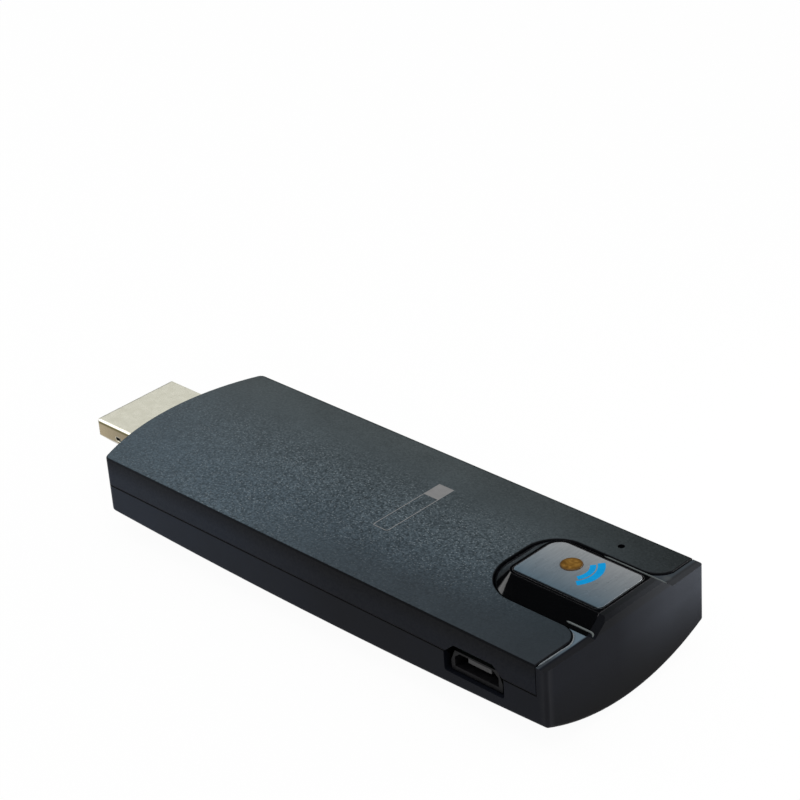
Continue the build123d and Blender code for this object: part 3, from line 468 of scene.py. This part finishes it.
def grey_face():
    """Key face: grey lacquer with a fine brushed grain across the stick, darker and bluer towards its near
    side and paler towards its far side, a little darker towards its end, with a painted highlight on its
    edges and a dark line along its near edge.
    """
    near_tone = (0.092, 0.138, 0.175)
    far_tone = (0.290, 0.305, 0.315)
    edge_tone = (0.48, 0.50, 0.51)
    outline_tone = (0.010, 0.013, 0.016)
    finish = Finish("grey_face", (0.20, 0.22, 0.23), 0.30, metallic=0.2, specular=0.2)
    edge_wear_and_painted_light = finish.soft_edges(0.06 * mm)
    brushed = finish.noise(0.10 * mm, 3.0, finish.stretched(1.0, 0.05, 1.0))
    patches = finish.noise(3.0 * mm, 2.0)
    lacquer = finish.tint(finish.along("Y", key_low.y, key_high.y), near_tone, far_tone)
    to_end = finish.along("X", key_low.x, key_high.x)
    lacquer = finish.shade(lacquer, finish.grow(to_end, 1.10, 0.92))
    lacquer = finish.mottle(lacquer, brushed, 0.12)
    # Painted highlight: paler edges
    lacquer = finish.tint(edge_wear_and_painted_light, lacquer, edge_tone)
    outline = finish.along("Y", key_low.y + 0.24 * mm, key_low.y + 0.10 * mm)
    finish.feed("Base Color", finish.tint(outline, lacquer, outline_tone))
    finish.gloss(patches, 0.24, 0.36)
    finish.relief(brushed, 0.002 * mm)
    return finish.material


def amber_lens():
    """Indicator lens: cloudy amber plastic, darker at its rim."""
    dark_amber = (0.115, 0.055, 0.010)
    light_amber = (0.25, 0.130, 0.024)
    rim_tone = (0.075, 0.038, 0.012)
    finish = Finish("amber_lens", (0.36, 0.17, 0.03), 0.25, specular=0.15)
    clouds = finish.noise(0.7 * mm, 3.0)
    amber = finish.tint(finish.patchy(clouds), dark_amber, light_amber)
    inside = finish.near_to((lens_centre.x, lens_centre.y, lens_high.z), 0.95 * mm, 1.42 * mm)
    finish.feed("Base Color", finish.tint(inside, rim_tone, amber))
    finish.gloss(clouds, 0.18, 0.32)
    finish.relief(clouds, 0.02 * mm, 0.6)
    return finish.material


def metal(name, colour, second, roughness, grain, drawn, relief, edge, shaded_side=None):
    """Plated or bare metal with drawing lines along X, uneven plating and brighter edges; where a side tone
    is given, its sides get painted shade and its rounded top edges a painted highlight.
    """
    low, high = roughness
    finish = Finish(name, colour, low, metallic=1.0)
    edge_wear_and_painted_light = finish.soft_edges(edge)
    lines = finish.noise(grain, 3.0, finish.stretched(drawn, 1.0, 1.0))
    patches = finish.noise(20 * grain, 3.0)
    base = finish.tint(finish.patchy(patches), colour, second)
    if shaded_side:
        base = shaded_sides_and_highlight(finish, base, shaded_side)
    bright = tuple(min(1.0, 1.12 * c) for c in colour)
    finish.feed("Base Color", finish.tint(edge_wear_and_painted_light, base, bright))
    finish.uneven_gloss(patches, low, high, lines, 0.04)
    finish.relief(lines, relief)
    return finish.material


def shaded_sides_and_highlight(finish, top, shaded_side):
    """The plug's sides in painted shade, paler at its mouth, with an olive painted shade line under its top
    edge and a painted highlight on its rounded top edges.
    """
    olive = (0.125, 0.105, 0.035)
    edge_highlight_tone = (0.84, 0.82, 0.70)
    # Painted shade on the sides, paler at the mouth
    paler = tuple(1.45 * c for c in shaded_side)
    sides = finish.tint(finish.along("X", plug_low.x, plug_low.x + 5 * mm), paler, shaded_side)
    # Painted olive shade line under the top edge
    shade_line_under_edge = finish.along("Z", plug_high.z - 0.75 * mm, plug_high.z - 0.50 * mm)
    sides = finish.tint(shade_line_under_edge, sides, olive)
    # Painted highlight on the rounded top edges
    edge_highlight = finish.facing_up(0.97, 0.88)
    top = finish.tint(edge_highlight, top, edge_highlight_tone)
    return finish.tint(finish.facing_up(0.05, 0.30), sides, top)


def board_green():
    """Board: green solder mask over a pattern of narrow tracks."""
    gap_tone = (0.008, 0.060, 0.024)
    track_tone = (0.016, 0.110, 0.045)
    finish = Finish("board_green", (0.010, 0.075, 0.030), 0.35)
    tracks, _ = finish.cells(2.2 * mm)
    finish.feed("Base Color", finish.tint(finish.blend(tracks, 0.45, 0.5, 0.0, 1.0), gap_tone, track_tone))
    finish.gloss(finish.noise(1.2 * mm), 0.28, 0.42)
    finish.relief(tracks, 0.02 * mm, 0.5)
    return finish.material


finishes = {
    "satin_shell": satin_shell(),
    "speckled_cover": speckled_cover(),
    "gloss_black": gloss_black("gloss_black", (0.100, 0.105, 0.112)),
    "grey_face": grey_face(),
    "amber_lens": amber_lens(),
    "board_green": board_green(),
}

# Metals: two tones of plating, range of roughness, grain, stretch of the drawing lines, relief and edge.
# Grain, relief and edge are in millimetres.
metals = {
    "nickel": ((0.64, 0.63, 0.53), (0.60, 0.59, 0.49), (0.26, 0.34), 0.06, 0.08, 0.0015, 0.28),
    "gold": ((0.83, 0.60, 0.24), (0.78, 0.55, 0.20), (0.18, 0.28), 0.04, 0.1, 0.001, 0.02),
    "steel": ((0.50, 0.50, 0.50), (0.44, 0.44, 0.45), (0.24, 0.36), 0.05, 0.1, 0.001, 0.03),
    "bare_aluminium": ((0.72, 0.73, 0.74), (0.66, 0.67, 0.68), (0.32, 0.44), 0.06, 0.06, 0.001, 0.03),
}
# Metals whose sides are painted in shade: the sides' tone
shaded_side_metals = {"nickel": (0.27, 0.225, 0.145)}
for name, (colour, second, roughness, grain, drawn, relief, edge) in metals.items():
    finishes[name] = metal(
        name, colour, second, roughness, grain * mm, drawn, relief * mm, edge * mm, shaded_side_metals.get(name)
    )

# Moulded and matt surfaces: two tones, range of roughness, grain and relief in millimetres
surfaces = {
    "dark_insulator": ((0.020, 0.020, 0.021), (0.028, 0.028, 0.029), (0.42, 0.55), 0.10, 0.003),
    "chip_black": ((0.016, 0.016, 0.017), (0.022, 0.022, 0.023), (0.50, 0.64), 0.09, 0.003),
    "pad_blue": ((0.20, 0.33, 0.50), (0.24, 0.37, 0.54), (0.60, 0.75), 0.15, 0.004),
    "ferrite": ((0.050, 0.048, 0.047), (0.065, 0.062, 0.060), (0.45, 0.60), 0.10, 0.004),
    "ceramic_tan": ((0.46, 0.33, 0.20), (0.52, 0.38, 0.24), (0.30, 0.42), 0.08, 0.002),
    "light_white": ((0.82, 0.82, 0.78), (0.86, 0.86, 0.82), (0.25, 0.38), 0.08, 0.001),
    "white_plastic": ((0.74, 0.74, 0.72), (0.78, 0.78, 0.76), (0.34, 0.46), 0.10, 0.002),
    "label_grey": ((0.30, 0.31, 0.32), (0.34, 0.35, 0.36), (0.55, 0.68), 0.12, 0.002),
}
for name, (colour, second, roughness, grain, relief) in surfaces.items():
    finishes[name] = moulded(name, colour, second, roughness, grain * mm, relief * mm)


def dress(node, material):
    """Gives every surface of a part one finish."""
    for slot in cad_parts[node].material_slots:
        slot.material = material


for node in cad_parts.values():
    for slot in node.material_slots:
        slot.material = finishes[slot.material.name.split(".")[0]]

# The power inlet's shell is blackened steel, and the bezel has its own gloss black
dress("inlet_shell", moulded(
    "blackened_steel", (0.005, 0.005, 0.006), (0.008, 0.008, 0.009), (0.34, 0.46), 0.05 * mm, 0.001 * mm,
    specular=0.08,
))
dress("key_bezel", bezel_black())


def make_object(name, mesh, material):
    """An object in the scene with one finish, from a mesh that isn't needed afterwards."""
    data = bpy.data.meshes.new(name)
    mesh.to_mesh(data)
    mesh.free()
    data.materials.append(material)
    made = bpy.data.objects.new(name, data)
    bpy.context.scene.collection.objects.link(made)
    return made


ink_thickness = 0.012 * mm


def flat_piece(name, outlines, z, material, body):
    """A thin printed layer: each outline is a closed ring of points, filled and given the ink's thickness."""
    mesh = bmesh.new()
    for outline in outlines:
        below = [mesh.verts.new((x, y, z)) for x, y in outline]
        above = [mesh.verts.new((x, y, z + ink_thickness)) for x, y in outline]
        mesh.faces.new(above)
        mesh.faces.new(reversed(below))
        for i in range(len(outline)):
            j = (i + 1) % len(outline)
            mesh.faces.new((below[i], below[j], above[j], above[i]))
    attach(make_object(name, mesh, material), body)


def ink(name, colour, second):
    """Printing ink: nearly even colour, matt, with a fine screen-print grain."""
    return moulded(name, colour, second, (0.42, 0.52), 0.08 * mm, 0.002 * mm, specular=0.05, edge=0.01 * mm)


def arc_band(centre, inner, outer, start, end):
    """Outline of one arc between two radii and two angles in degrees."""
    steps = 28
    angles = [radians(start + (end - start) * i / steps) for i in range(steps + 1)]
    far = [(centre.x + outer * cos(a), centre.y + outer * sin(a)) for a in angles]
    near = [(centre.x + inner * cos(a), centre.y + inner * sin(a)) for a in reversed(angles)]
    return far + near


def strip(left, near, right, far):
    """Outline of one straight printed strip."""
    return [(left, near), (right, near), (right, far), (left, far)]


# Two signal arcs beside the lens: inner and outer radius, start and end in degrees
arc_blue = ink("arc_blue", (0.001, 0.255, 0.57), (0.002, 0.275, 0.61))
arc_centre = lens_centre + Vector((0.28 * mm, -0.40 * mm, 0.0))
arcs = {
    "signal_arc_small": (2.25 * mm, 3.0 * mm, -33, 46),
    "signal_arc_large": (3.2 * mm, 4.15 * mm, -40, 50),
}
for name, arc in arcs.items():
    flat_piece(name, [arc_band(arc_centre, *arc)], key_high.z, arc_blue, "mode_key")

# Plain printed frame across the cover, with rounded near corners and its far end filled in
frame_left = 6.55 * mm
frame_right = frame_left + 2.6 * mm
frame_near = -4.3 * mm
frame_far = frame_near + 12.4 * mm
frame_fill = frame_far - 3.0 * mm
frame_line = 0.11 * mm
frame_round = 0.36 * mm
turn_left = frame_left + frame_round
turn_right = frame_right - frame_round
turn_y = frame_near + frame_round
turn_inner = frame_round - frame_line
print_grey = ink("print_grey", (0.20, 0.20, 0.20), (0.22, 0.22, 0.22))
strips = [
    strip(frame_left, turn_y, frame_left + frame_line, frame_fill),
    strip(frame_right - frame_line, turn_y, frame_right, frame_fill),
    strip(turn_left, frame_near, turn_right, frame_near + frame_line),
    strip(frame_left, frame_fill, frame_right, frame_far),
    arc_band(Vector((turn_left, turn_y, 0.0)), turn_inner, frame_round, 180, 270),
    arc_band(Vector((turn_right, turn_y, 0.0)), turn_inner, frame_round, 270, 360),
]
flat_piece("printed_frame", strips, cover_top, print_grey, "casing")


def bead(name, path, radius, material, body):
    """A thin raised line of round section along a path of points, thinner at both ends."""
    sides = 8
    end_share = 0.4
    up = Vector((0, 0, 1))
    turns = [2 * pi * k / sides for k in range(sides)]
    mesh = bmesh.new()
    rings = []
    for i, point in enumerate(path):
        ahead = (path[min(i + 1, len(path) - 1)] - path[max(i - 1, 0)]).normalized()
        across = ahead.cross(up).normalized()
        reach = radius if 0 < i < len(path) - 1 else end_share * radius
        rings.append([mesh.verts.new(point + reach * (cos(a) * across + sin(a) * up)) for a in turns])
    for first, second in zip(rings, rings[1:]):
        for k in range(sides):
            after = (k + 1) % sides
            mesh.faces.new((first[k], first[after], second[after], second[k]))
    mesh.faces.new(reversed(rings[0]))
    mesh.faces.new(rings[-1])
    bmesh.ops.recalc_face_normals(mesh, faces=mesh.faces)
    piece = make_object(name, mesh, material)
    piece.data.shade_smooth()
    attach(piece, body)


def run(start, end, steps):
    """Evenly spaced points of a straight run, both ends among them."""
    return [start + (end - start) * i / steps for i in range(steps + 1)]


def bead_finish(name, colour, second):
    """Pale trim with a faint grain, whose colour paints highlight lines."""
    return moulded(name, colour, second, (0.25, 0.35), 0.08 * mm, 0.001 * mm, specular=0.2)


# Thin beads beside the bezel whose pale grey paints highlight lines: one on its near slope that bends down at
# the end, and one at its far foot
highlight_bead_grey = bead_finish("highlight_bead_grey", (0.125, 0.140, 0.140), (0.105, 0.120, 0.120))
straight_steps = 12
near_run = run(Vector((39.9, -5.53, 12.35)) * mm, Vector((43.6, -5.53, 12.35)) * mm, straight_steps)
near_bend = [
    Vector((43.90, -5.58, 12.31)) * mm,
    Vector((44.06, -5.70, 12.22)) * mm,
    Vector((44.13, -5.88, 12.08)) * mm,
]
bead("bezel_highlight_bead_near", near_run + near_bend, 0.13 * mm, highlight_bead_grey, "casing")
ledge_z = cover_top - 0.25 * mm
far_start = Vector((key_low.x + 5.0 * mm, 8.36 * mm, ledge_z + 0.06 * mm))
far_end = Vector((cover_end + 0.9 * mm, far_start.y, far_start.z))
bead("bezel_highlight_bead_far", run(far_start, far_end, straight_steps), 0.10 * mm, highlight_bead_grey, "casing")

# A paler bead on the ledge paints the highlight line along the near part of the cover's end and round its
# flare
highlight_bead_pale = bead_finish("highlight_bead_pale", (0.19, 0.21, 0.225), (0.16, 0.18, 0.195))
ledge_bead_z = ledge_z + 0.05 * mm
ledge_start = Vector((cover_end + 0.15 * mm, -14.0 * mm, ledge_bead_z))
ledge_turn = Vector((cover_end + 0.24 * mm, -10.0 * mm, ledge_bead_z))
flare_centre = Vector((cover_end - 2.88 * mm, -9.2 * mm, ledge_bead_z))
flare_radius = 3.22 * mm
flare_angles = [radians(-10 + 6 * k) for k in range(12)]
flare_run = [flare_centre + flare_radius * Vector((cos(a), sin(a), 0.0)) for a in flare_angles]
bead("ledge_highlight_bead", run(ledge_start, ledge_turn, 10) + flare_run, 0.09 * mm, highlight_bead_pale, "casing")


# Studio
world_ambient = 0.42
floor_colour = (0.90, 0.90, 0.90)
floor_white_share = 0.96
floor_size = 6.0
floor_z = -0.02 * mm


def seen_directly(nodes, links):
    """1 for what the camera sees, in reflections and through clear things too, and 0 for falling light."""
    path = nodes.new("ShaderNodeLightPath")
    first = nodes.new("ShaderNodeMath")
    first.operation = "MAXIMUM"
    second = nodes.new("ShaderNodeMath")
    second.operation = "MAXIMUM"
    links.new(path.outputs["Is Camera Ray"], first.inputs[0])
    links.new(path.outputs["Is Glossy Ray"], first.inputs[1])
    links.new(first.outputs[0], second.inputs[0])
    links.new(path.outputs["Is Transmission Ray"], second.inputs[1])
    return second.outputs[0]


def make_world():
    """Even pale light from all round, and a white background."""
    world = bpy.data.worlds.new("studio")
    bpy.context.scene.world = world
    world.use_nodes = True
    nodes = world.node_tree.nodes
    links = world.node_tree.links
    ambient = nodes["Background"]
    ambient.inputs["Color"].default_value = (1.0, 1.0, 1.0, 1.0)
    ambient.inputs["Strength"].default_value = world_ambient
    white = nodes.new("ShaderNodeBackground")
    white.inputs["Strength"].default_value = 1.0
    white.inputs["Color"].default_value = (1.0, 1.0, 1.0, 1.0)
    choice = nodes.new("ShaderNodeMixShader")
    links.new(seen_directly(nodes, links), choice.inputs[0])
    links.new(ambient.outputs[0], choice.inputs[1])
    links.new(white.outputs[0], choice.inputs[2])
    links.new(choice.outputs[0], nodes["World Output"].inputs["Surface"])


def floor_material():
    """Pale matt floor that keeps the shadow, and lets the underside be seen from below."""
    material = bpy.data.materials.new("studio_floor")
    material.use_nodes = True
    nodes = material.node_tree.nodes
    links = material.node_tree.links
    nodes.clear()
    output = nodes.new("ShaderNodeOutputMaterial")
    matt = nodes.new("ShaderNodeBsdfDiffuse")
    matt.inputs["Color"].default_value = (*floor_colour, 1.0)
    white = nodes.new("ShaderNodeEmission")
    clear = nodes.new("ShaderNodeBsdfTransparent")
    share = nodes.new("ShaderNodeMath")
    share.operation = "MULTIPLY"
    share.inputs[1].default_value = floor_white_share
    pale = nodes.new("ShaderNodeMixShader")
    sides = nodes.new("ShaderNodeMixShader")
    geometry = nodes.new("ShaderNodeNewGeometry")
    links.new(seen_directly(nodes, links), share.inputs[0])
    links.new(share.outputs[0], pale.inputs[0])
    links.new(matt.outputs[0], pale.inputs[1])
    links.new(white.outputs[0], pale.inputs[2])
    links.new(geometry.outputs["Backfacing"], sides.inputs[0])
    links.new(pale.outputs[0], sides.inputs[1])
    links.new(clear.outputs[0], sides.inputs[2])
    links.new(sides.outputs[0], output.inputs["Surface"])
    return material


def flag_material():
    """Black without any gloss."""
    material = bpy.data.materials.new("studio_flag")
    material.use_nodes = True
    surface = material.node_tree.nodes["Principled BSDF"]
    surface.inputs["Base Color"].default_value = (0.0, 0.0, 0.0, 1.0)
    surface.inputs["Specular IOR Level"].default_value = 0.0
    return material


def card(name, centre, facing, width, height, material):
    """A flat card that looks towards a point; its mesh is one metre wide and is scaled to size."""
    half = 0.5
    mesh = bmesh.new()
    bmesh.ops.create_grid(mesh, x_segments=2, y_segments=2, size=half)
    board = make_object(name, mesh, material)
    turn = (facing - centre).to_track_quat("Z", "Y")
    board.matrix_world = Matrix.LocRotScale(centre, turn, Vector((width, height, 1.0)))
    return board


def lamp(name, direction, distance, side, brightness):
    """A soft square lamp that stands in one direction from the stick and looks at it."""
    light = bpy.data.lights.new(name, "AREA")
    light.shape = "RECTANGLE"
    light.size = side
    light.size_y = side
    light.energy = brightness * pi * side * side
    holder = bpy.data.objects.new(name, light)
    bpy.context.scene.collection.objects.link(holder)
    place = stick_centre + direction.normalized() * distance
    turn = (place - stick_centre).to_track_quat("Z", "Y")
    holder.matrix_world = Matrix.LocRotScale(place, turn, Vector((1.0, 1.0, 1.0)))
    holder.visible_camera = False


make_world()
card("floor", Vector((0, 0, floor_z)), Vector((0, 0, 1)), floor_size, floor_size, floor_material())

# Lamps: direction from the stick's middle, distance, side and brightness
stick_centre = (cad_low + cad_high) / 2
lamps = {
    "overhead_softbox": (Vector((0.1, -0.1, 1.0)), 0.9, 0.9, 1.9),
    "left_softbox": (Vector((-0.80, -0.50, 0.50)), 0.42, 0.34, 1.3),
    "end_softbox": (Vector((0.100, 0.086, 0.006)), 0.118, 0.045, 16.0),
}
for name, placing in lamps.items():
    lamp(name, *placing)

# Black cards that only glossy surfaces mirror keep the key end dark.
# Each has the point that it faces, its direction from there, its distance, width and height.
key_centre = (key_low + key_high) / 2
notch_corner = Vector((key_low.x - 3 * mm, key_low.y - 2 * mm, key_low.z))
flag_black = flag_material()
flags = {
    "black_card_front": (key_centre, Vector((-0.631, -0.370, 0.682)), 0.12, 0.09, 0.09),
    "black_card_back": (key_centre, Vector((-0.630, 0.607, 0.484)), 0.10, 0.08, 0.08),
    "black_card_left": (notch_corner, Vector((-0.952, 0.280, 0.090)), 0.50, 0.40, 0.15),
}
for name, (faced, direction, distance, width, height) in flags.items():
    flag = card(name, faced + distance * direction, faced, width, height, flag_black)
    flag.visible_camera = False
    flag.visible_diffuse = False
    flag.visible_shadow = False
    flag.visible_transmission = False

# Camera at the photograph's place, which is a little rolled
camera_lens = 110.11
camera_target = Vector((-0.017791, 0.025562, 0.008602))
camera_distance = 0.34366
camera_azimuth = radians(46.12)
camera_elevation = radians(28.945)
camera_roll = radians(-4.246)
camera_nearest = 0.01
camera_farthest = 20.0


def make_camera():
    """Camera that looks at the target along the photograph's direction."""
    data = bpy.data.cameras.new("camera")
    data.lens = camera_lens
    data.clip_start = camera_nearest
    data.clip_end = camera_farthest
    camera = bpy.data.objects.new("camera", data)
    bpy.context.scene.collection.objects.link(camera)
    level = cos(camera_elevation)
    back = Vector((sin(camera_azimuth) * level, -cos(camera_azimuth) * level, sin(camera_elevation)))
    turn = Matrix.Rotation(camera_roll, 3, back) @ back.to_track_quat("Z", "Y").to_matrix()
    camera.matrix_world = Matrix.Translation(camera_target + back * camera_distance) @ turn.to_4x4()
    bpy.context.scene.camera = camera


make_camera()
bpy.context.scene.view_settings.view_transform = "Standard"

bpy.context.view_layer.update()
